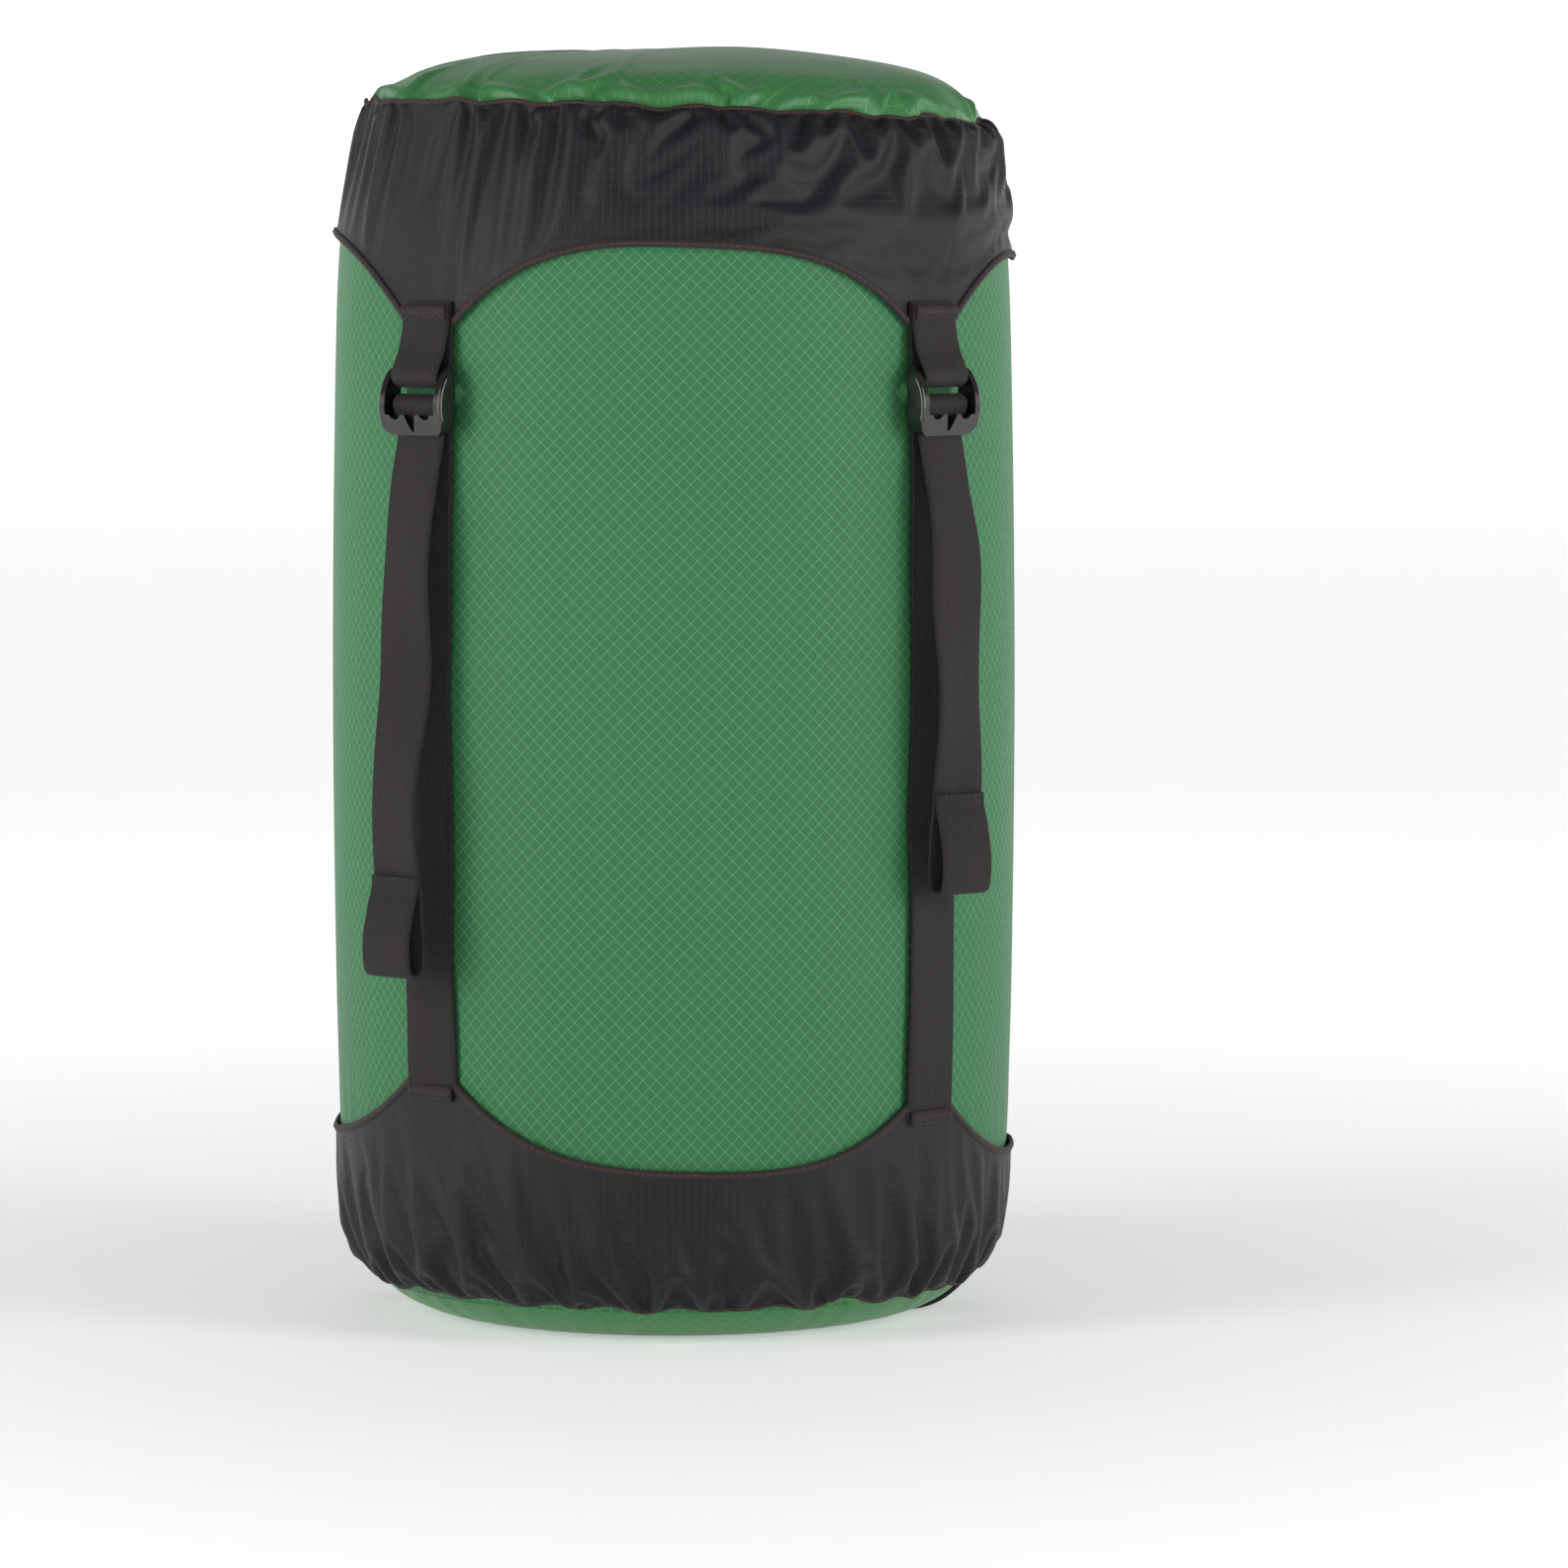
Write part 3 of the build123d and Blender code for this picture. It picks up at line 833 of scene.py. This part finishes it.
def make_crown(hem):
    """The lid's domed panel, cut a little large and gathered into the skirt's hem."""
    count = 116
    across, along = disc_points(count)
    reach = np.hypot(across, along)
    angle = np.arctan2(along, across)
    hem_angles = np.arctan2(hem[:, 1], hem[:, 0])
    period = 2 * math.pi
    rim_height = np.interp(angle, hem_angles, hem[:, 2], period=period) - 0.5 * MM
    rim_radius = np.interp(angle, hem_angles, np.hypot(hem[:, 0], hem[:, 1]), period=period)
    dome = smooth_line(
        [
            (0.0, LID_TOP - 0.6 * MM),
            (0.3, LID_TOP - 1.0 * MM),
            (0.6, LID_TOP - 3.6 * MM),
            (0.82, LID_TOP - 8.0 * MM),
            (0.94, LID_TOP - 14.5 * MM),
            (1.0, LID_HEM + 1.0 * MM),
        ],
        300,
    )
    height = np.interp(reach, dome[:, 0], dome[:, 1])
    height = height + (rim_height - dome[-1, 1]) * np.clip((reach - 0.8) / 0.2, 0, 1) ** 2
    height = height + 1.3 * MM * ripple(angle, reach * 0.1, 71, 12, 7, 24) * reach * (1 - reach**6)
    lumps = 0.9 * MM * ripple(across * 3, along * 0.25, 77, 6, 1, 4) * (1 - reach**4)
    radius = (rim_radius - 0.3 * MM) * reach
    points = polar(radius, angle, height)
    cut_radius = 105.4 * MM
    cut = np.stack([across * cut_radius, along * cut_radius, 0 * height], axis=-1)
    bunched = math.radians(1.0) * ripple(angle, 0 * angle, 88, 12, 9, 38) * reach**4
    points = polar(radius, angle + bunched, height)
    held = np.ones((count, count), bool)
    held[1:-1, 1:-1] = False

    def push_out(p):
        """Keep the panel above what fills the sack."""
        share = np.hypot(p[:, 0], p[:, 1]) / (rim_radius.mean() - 0.3 * MM)
        least = np.interp(share, dome[:, 0], dome[:, 1]) - 2.6 * MM + lumps.ravel()
        return np.column_stack([p[:, 0], p[:, 1], np.maximum(p[:, 2], least)])

    points = settle(points, cut, held, push_out, False, 0.12, 0.004 * MM)
    crown = grid_object("lid_crown", points, False)
    subdivide(crown)
    thicken(crown, -1)
    wear(crown, MATERIALS["panel"])
    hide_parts("lid_panel")
    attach(crown, "lid")


def make_wall():
    """The green sack: its wall, and its shoulder gathered in to the mouth, as one sheet."""
    wall = smooth_line(
        [
            (95.2 * MM, TUBE_BOTTOM - 0.6 * MM),
            (102.6 * MM, TUBE_BOTTOM + 14 * MM),
            (106.8 * MM, TUBE_BOTTOM + 34 * MM),
            (108.4 * MM, BASE_TIP),
            (109.4 * MM, 0.120),
            (BODY_RADIUS, 0.200),
            (109.2 * MM, 0.280),
            (107.4 * MM, TUBE_TOP),
            (103.0 * MM, TUBE_TOP + 20 * MM),
            (95.6 * MM, TUBE_TOP + 41 * MM),
            (84.0 * MM, TUBE_TOP + 48.8 * MM),
            (60.0 * MM, TUBE_TOP + 51.2 * MM),
            (30.0 * MM, TUBE_TOP + 51.6 * MM),
            (14.6 * MM, TUBE_TOP + 52.8 * MM),
        ],
        250,
    )
    angles = full_turn(480)[None, :]
    run = lengths(wall)[:, None]
    inward = normals_of(wall)
    top = np.clip((wall[:, 1:2] - TUBE_TOP - 8 * MM) / (40 * MM), 0, 1)
    mouth = np.clip((95 * MM - wall[:, 0:1]) / (80 * MM), 0, 1) * (wall[:, 1:2] > 0.3)
    push = 0.22 * MM * ripple(angles, run * 0.35, 3, 10, 2, 9) * (1 - top)
    foot = np.exp(-(((wall[:, 1:2] - BASE_APEX - 8 * MM) / (14 * MM)) ** 2))
    push = push + 0.18 * MM * foot * ripple(angles, run * 0.1, 9, 10, 30, 80)
    pleats = np.sin(46 * angles + 2.0 * np.sin(5 * angles))
    push = push + top * 0.5 * MM * (1 + pleats) + mouth * 1.1 * MM * pleats
    points = polar(wall[:, 0:1] - push * inward[:, 0:1], angles, wall[:, 1:2] - push * inward[:, 1:2])
    made = grid_object("sack_cloth", points, True)
    thicken(made, -1)
    wear(made, MATERIALS["wall"])
    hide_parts("sack_tube", "sack_shoulder")
    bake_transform(made)


def make_floor_panel():
    """The round base panel: flat where it stands, puckered a little up to the base collar."""
    count = 110
    across, along = disc_points(count)
    reach = np.hypot(across, along)
    angle = np.arctan2(along, across)
    rim = 96.0 * MM
    line = smooth_line(
        [
            (0.0, 0.0),
            (60 * MM, 0.0),
            (74 * MM, 0.5 * MM),
            (84 * MM, 3.2 * MM),
            (91.5 * MM, 7.6 * MM),
            (rim, TUBE_BOTTOM + 1.5 * MM),
        ],
        300,
    )
    height = np.interp(reach * rim, line[:, 0], line[:, 1])
    lift = np.clip((reach - 0.72) / 0.28, 0, 1)
    pucker = 0.35 * MM * ripple(angle, reach * 0.05, 51, 14, 24, 70) * lift
    points = polar(reach * rim + pucker, angle, np.maximum(height - 0.4 * pucker, 0.0) + 0.02 * MM)
    made = grid_object("base_floor", points, False)
    subdivide(made)
    thicken(made, 1)
    wear(made, MATERIALS["panel"])
    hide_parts("base_panel")
    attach(made, "sack")


# ---- webbing ----


def strap_frame(angle, line, twist=0.0, shift=0.0, hinge=None):
    """A strap's middle, and the directions across it and out of its face, for a line of (radius, height).

    twist turns it about the upright, shift moves it sideways, and hinge is the radius a folded end turns at."""
    outwards, along, up = radial(angle)
    left = normals_of(line)
    count = len(line)
    twist = np.broadcast_to(twist, (count,))[:, None]
    shift = np.broadcast_to(shift, (count,))[:, None]
    hinge = line[:, 0:1] if hinge is None else hinge[:, None]
    across = along * np.cos(twist) + outwards * np.sin(twist)
    forwards = outwards * np.cos(twist) - along * np.sin(twist)
    path = hinge * outwards + (line[:, 0:1] - hinge) * forwards + line[:, 1:2] * up + shift * along
    return path, across, -(left[:, 0:1] * forwards + left[:, 1:2] * up)


def strap_piece(name, angle, line, twist=0.0, shift=0.0, waver=0.0, caps=(True, True), hinge=None):
    """A length of webbing that follows a line of (radius, height) at one angle round the sack."""
    run = lengths(line)
    shift = shift + waver * np.sin(run / (9 * MM)) * np.sin(run / (23 * MM))
    path, across, out = strap_frame(angle, line, twist, shift, hinge)
    section = rounded_section(WEBBING_WIDTH, WEBBING, crown=0.1 * MM)
    return sweep(name, path, across, out, section, caps=caps)


def cross_stitches(middle, across, out):
    """A row of stitches across the outside of a strap."""
    middle = middle + out * (WEBBING / 2 + 0.12 * MM)
    path = middle + np.linspace(-8.6 * MM, 8.6 * MM, 12)[:, None] * across
    return dashes("row", path, np.tile(out, (12, 1)), 1.5 * MM, 1.5 * MM, 0.24 * MM, slant=0.5)


STRAP_NODES = {place: NODES[f"strap_{place}_tail"] for place in STRAP_ANGLES}

# how each free end hangs: its lean and curl in degrees, the share of its drop where it curls most,
# and how far it bows out in millimetres
TAIL_SHAPES = {
    "front_left": (-1.0, 6.0, 0.23, 4.2),
    "front_right": (1.0, -6.0, 0.08, 0.0),
    "rear_right": (2.0, 5.0, 0.4, 1.5),
    "rear_left": (-2.0, 5.0, 0.1, 3.0),
}


def make_straps():
    """The four straps: the loaded length, the turn in the buckle, the free end and the anchor."""
    for place, angle in STRAP_ANGLES.items():
        pivot = BUCKLE_PIVOTS[place]
        bar_r, bar_z = math.hypot(pivot.x, pivot.y), pivot.z
        strand(place, angle)
        wrap_and_tail(place, angle, bar_r, bar_z)
        anchor(place, angle, bar_r, bar_z)


def strand(place, angle):
    """The loaded length, in three pieces, because it crosses three joints."""
    tip = BASE_TIP + edge_lean(angle, *BASE_LEAN)
    line = smooth_line(
        [
            (107.7 * MM, tip - 8 * MM),
            (110.3 * MM, tip + 3 * MM),
            (110.9 * MM, 0.120),
            (111.5 * MM, 0.200),
            (111.0 * MM, 0.260),
            (110.8 * MM, 0.2850),
            (111.3 * MM, 0.2880),
        ],
        240,
    )
    seed = list(STRAP_ANGLES).index(place)
    height = line[:, 1]
    sway = 0.5 * MM * ripple(height * 30, 0 * height, seed, 5, 1, 4)
    sway = sway + 0.25 * MM * np.sin(height / (9 * MM)) * np.sin(height / (23 * MM))
    lean = math.radians(6) * ripple(height * 25, 0 * height, seed + 20, 4, 1, 3)
    # each piece: the two bodies it joins, where it bends from one to the other, and where it starts and ends
    pieces = [
        ("low", "sack", "mouth", BASE_TIP + 2 * MM, 0.230, 0, 0.232),
        ("high", "mouth", "lid", 0.234, 0.260, 0.232, 0.262),
        ("top", "lid", f"buckle_{place}", 0.264, 0.2895, 0.262, 1),
    ]
    material = woven(f"webbing_strand_{place}", WEBBING_DARK, WEBBING_LIGHT, strand_angle=angle)
    for part, below, above, start, end, low, high in pieces:
        first, last = np.searchsorted(height, [low, high])
        inside = slice(first, last + 1)
        caps = (part == "low", part == "top")
        made = strap_piece(f"strap_{place}_{part}", angle, line[inside], lean[inside], sway[inside], caps=caps)
        wear(made, material)
        if part == "low":
            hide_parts(f"strap_{place}_strand")
        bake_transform(made)


def wrap_and_tail(place, angle, bar_r, bar_z):
    """The strap's turn over the buckle's middle bar, and its free end with the thumb loop."""
    low, high = STRAP_NODES[place]
    top, bottom = high.z, low.z
    stitch = bottom + 28.5 * MM
    drop = top - stitch
    mid_r, mid_z = bar_r + 0.2 * MM, bar_z - 8.4 * MM
    turn = 2.25 * MM
    wrap = [
        (111.1 * MM, 0.2862),
        (111.4 * MM, 0.2898),
        (mid_r - turn, mid_z + 0.2 * MM),
        (mid_r, mid_z + turn),
        (mid_r + turn, mid_z),
        (115.3 * MM, 0.2896),
        (114.3 * MM, 0.2862),
        (114.3 * MM, top),
    ]
    lean, wave, crest, bow = TAIL_SHAPES[place]
    bow = bow * MM
    free = [
        (117.0 * MM, top - 0.10 * drop),
        (120.8 * MM, top - 0.28 * drop),
        (121.6 * MM, top - 0.55 * drop),
        (122.6 * MM + bow, top - 0.82 * drop),
        (121.4 * MM + bow * 0.8, stitch),
    ]
    loop = [
        (120.2 * MM + bow, stitch - 10 * MM),
        (119.6 * MM + bow, bottom + 9 * MM),
        (120.2 * MM + bow, bottom + 2.2 * MM),
        (122.9 * MM + bow, bottom + 0.65 * MM),
        (125.5 * MM + bow, bottom + 2.6 * MM),
        (126.0 * MM + bow, stitch - 17 * MM),
        (124.4 * MM + bow * 0.9, stitch - 7 * MM),
        (122.9 * MM + bow * 0.8, stitch - 0.8 * MM),
        (122.9 * MM + bow * 0.8, stitch + 3 * MM),
    ]
    line = smooth_line(wrap + free + loop, 420)
    run = lengths(line)
    start = run[int(np.argmin(np.abs(line[:, 1] - top) + (run < 0.02) * 1.0))]
    share = np.clip((run - start) / drop, 0, 1)
    curl_length = 0.62
    curl = np.cos(2 * math.pi * (share - crest) / curl_length)
    twist = np.radians(lean + wave * curl) * ease(np.clip(3 * share, 0, 1))
    hinge = np.where(run - start > drop, np.interp(start + drop, run, line[:, 0]), line[:, 0])
    made = strap_piece(f"strap_{place}_free", angle, line, twist, 0.0, 0.3 * MM, hinge=hinge)
    wear(made, MATERIALS["webbing"])
    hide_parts(f"strap_{place}_wrap", f"strap_{place}_tail")
    outwards, _, _ = radial(angle)
    at = outwards * 114.5 * MM
    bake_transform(made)
    path, across, face = strap_frame(angle, line, twist, 0.0, hinge)
    rows = []
    for below in (0.8 * MM, 2.8 * MM):
        at = int(np.searchsorted(run, run[-1] - below))
        rows.append(cross_stitches(path[at], across[at], face[at]))
    seam = join(f"strap_{place}_loop_stitches", rows)
    wear(seam, MATERIALS["dark_thread"])
    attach(seam, f"tail_{place}")


def anchor(place, angle, bar_r, bar_z):
    """The webbing that hangs the buckle from the lid's skirt."""
    turn = 2.95 * MM
    line = smooth_line(
        [
            (110.4 * MM, LID_TIP + 6 * MM),
            (110.2 * MM, LID_TIP - 1 * MM),
            (bar_r - turn - 0.3 * MM, bar_z + 3 * MM),
            (bar_r - turn * 0.85, bar_z - turn * 0.5),
            (bar_r, bar_z - turn),
            (bar_r + turn * 0.9, bar_z - turn * 0.4),
            (bar_r + turn * 0.8, bar_z + 2 * MM),
            (113.6 * MM, bar_z + 8 * MM),
            (111.9 * MM, LID_TIP - 2 * MM),
            (111.6 * MM, LID_TIP + 5 * MM),
        ],
        160,
    )
    made = strap_piece(f"anchor_{place}_webbing", angle, line, 0.0, 0.0, 0.15 * MM)
    wear(made, MATERIALS["webbing"])
    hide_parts(f"anchor_{place}")
    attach(made, "lid")


def make_bartacks():
    """The stitched bars across the tips of both collars."""
    for body, node, level, reach, lean in (
        ("lid", "lid_bartacks", LID_TIP + 2.6 * MM, 112.9 * MM, LID_LEAN),
        ("sack", "base_bartacks", BASE_TIP - 2.6 * MM, 111.3 * MM, BASE_LEAN),
    ):
        bars, rows = [], []
        for angle in STRAP_ANGLES.values():
            outwards, along, up = radial(angle)
            middle = outwards * reach + up * (level + edge_lean(angle, *lean))
            path = middle + np.linspace(-9.4 * MM, 9.4 * MM, 12)[:, None] * along
            out = np.tile(outwards, (12, 1))
            side = np.tile(up, (12, 1))
            bars.append(sweep("bar", path, side, out, rounded_section(4.4 * MM, 0.9 * MM)))
            for offset in (-1.2 * MM, 1.2 * MM):
                row = path + up * offset + out * 0.5 * MM
                rows.append(dashes("row", row, out, 1.2 * MM, 1.7 * MM, 0.22 * MM, slant=0.9))
        bar = join(f"{body}_tip_bars", bars)
        wear(bar, MATERIALS["tape"])
        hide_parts(node)
        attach(bar, body)
        seam = join(f"{body}_tip_stitches", rows)
        wear(seam, MATERIALS["dark_thread"])
        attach(seam, body)


def make_handle():
    """The webbing handle across the base, lying flat, its ends under the hem."""
    end = NODES["base_handle"][1]
    angle = math.atan2(-(end.y - WEBBING_WIDTH / 2), end.x)
    half = [
        (36.0 * MM, 0.75 * MM),
        (72.0 * MM, 0.75 * MM),
        (85.0 * MM, 2.6 * MM),
        (94.2 * MM, TUBE_BOTTOM - 1.8 * MM),
        (98.0 * MM, TUBE_BOTTOM + 5.0 * MM),
    ]
    line = smooth_line([(-reach, height) for reach, height in half[::-1]] + half, 200)
    made = strap_piece("base_handle_webbing", angle, line, 0.0, 0.0, 0.1 * MM)
    wear(made, MATERIALS["webbing"])
    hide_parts("base_handle")
    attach(made, "sack")


def make_mouth():
    """The flared and hemmed mouth, pleated where the drawcord would gather it."""
    low, high = NODES["mouth_hem"]
    angles = full_turn(360)[None, :]
    inner = smooth_line(
        [
            (14.2 * MM, low.z - 0.4 * MM),
            (17.5 * MM, low.z + 2.8 * MM),
            (22.2 * MM, high.z - 5.4 * MM),
            (24.0 * MM, high.z - 1.4 * MM),
            (26.0 * MM, high.z - 1.2 * MM),
            (26.6 * MM, high.z - 3.6 * MM),
            (24.4 * MM, high.z - 5.0 * MM),
            (19.4 * MM, low.z + 2.2 * MM),
        ],
        60,
    )
    share = np.linspace(0, 1, 60)[:, None]
    pleats = np.sin(38 * angles + 1.5 * np.sin(4 * angles + 1.0))
    radius = inner[:, 0:1] + 0.75 * MM * pleats * (0.5 + 0.5 * np.sin(math.pi * share))
    height = inner[:, 1:2] + 0.25 * MM * pleats
    made = grid_object("mouth_channel", polar(radius, angles, height), True)
    thicken(made, -1)
    wear(made, MATERIALS["collar"])
    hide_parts("mouth_hem")
    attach(made, "mouth")


# ---- stage ----


def make_stage():
    """A pale floor that curves up far away all round, soft lights and the camera."""
    flat = [(0.02, 0.0), (3.0, 0.0), (6.0, 0.0)]
    rising = [(9.0, 0.05), (11.6, 0.6), (12.6, 2.2), (12.8, 3.6)]
    line = smooth_line(flat + rising, 80)
    floor = grid_object("floor", polar(line[:, 0:1], full_turn(96)[None, :], line[:, 1:2] - 0.05 * MM), True)
    n = Nodes("floor")
    x, y, z = n.split(n.object_space())
    away = n.clamp(n.math("DIVIDE", n.minus(n.distance(x, y), 0.22), 0.8))
    glow = n.plus(n.times(away, 0.31), 0.35)
    glow = n.plus(glow, n.times(n.clamp(z), 0.2))
    n.link(glow, n.shader.inputs["Emission Strength"])
    n.surface(Base_Color=(0.9, 0.9, 0.9, 1), Emission_Color=(1, 1, 1, 1), Roughness=0.9, Specular_IOR_Level=0.1)
    floor.data.materials.append(n.material)

    world = bpy.data.worlds.new("studio")
    bpy.context.scene.world = world
    world.use_nodes = True
    background = world.node_tree.nodes["Background"]
    background.inputs["Color"].default_value = (1.0, 1.0, 1.0, 1)
    background.inputs["Strength"].default_value = 0.18

    def softbox(name, azimuth, distance, height, width, tall, power):
        """A rectangular light that faces the sack's middle."""
        data = bpy.data.lights.new(name, "AREA")
        data.shape = "RECTANGLE"
        data.size = width
        data.size_y = tall
        data.energy = power
        light = bpy.data.objects.new(name, data)
        turn = math.radians(azimuth)
        light.location = (distance * math.sin(turn), -distance * math.cos(turn), height)
        aim = Vector((0, 0, 0.2)) - light.location
        light.rotation_euler = aim.to_track_quat("-Z", "Y").to_euler()
        bpy.context.scene.collection.objects.link(light)

    softbox("key_left", -60, 1.6, 0.5, 0.6, 1.3, 14)
    softbox("key_right", 58, 1.6, 0.5, 0.6, 1.3, 13.5)
    softbox("back_top", 180, 1.3, 1.4, 1.2, 0.6, 2)

    eye_distance = 21 * BODY_RADIUS
    azimuth = math.radians(-1.6)
    eye_height = 0.342
    pitch = math.radians(-4.29)
    yaw = math.radians(0.883)
    camera = bpy.data.objects.new("camera", bpy.data.cameras.new("camera"))
    camera.data.lens = 164.4
    camera.data.sensor_width = 36.0
    camera.location = (eye_distance * math.sin(azimuth), -eye_distance * math.cos(azimuth), eye_height)
    camera.rotation_euler = (math.pi / 2 + pitch, 0.0, azimuth - yaw)
    bpy.context.scene.collection.objects.link(camera)
    bpy.context.scene.camera = camera
    bpy.context.scene.view_settings.view_transform = "Standard"


def dress_hardware():
    """Materials for the CAD parts that show as they are."""
    for name, node in frame["nodes"].items():
        if name.startswith("ladderlock") or name == "cord_eyelet":
            node.data.materials.clear()
            node.data.materials.append(MATERIALS["metal" if name == "cord_eyelet" else "plastic"])


make_stage()
make_wall()
make_floor_panel()
lid_hem_line = make_collars()
make_crown(lid_hem_line)
make_straps()
make_bartacks()
make_handle()
make_mouth()
dress_hardware()
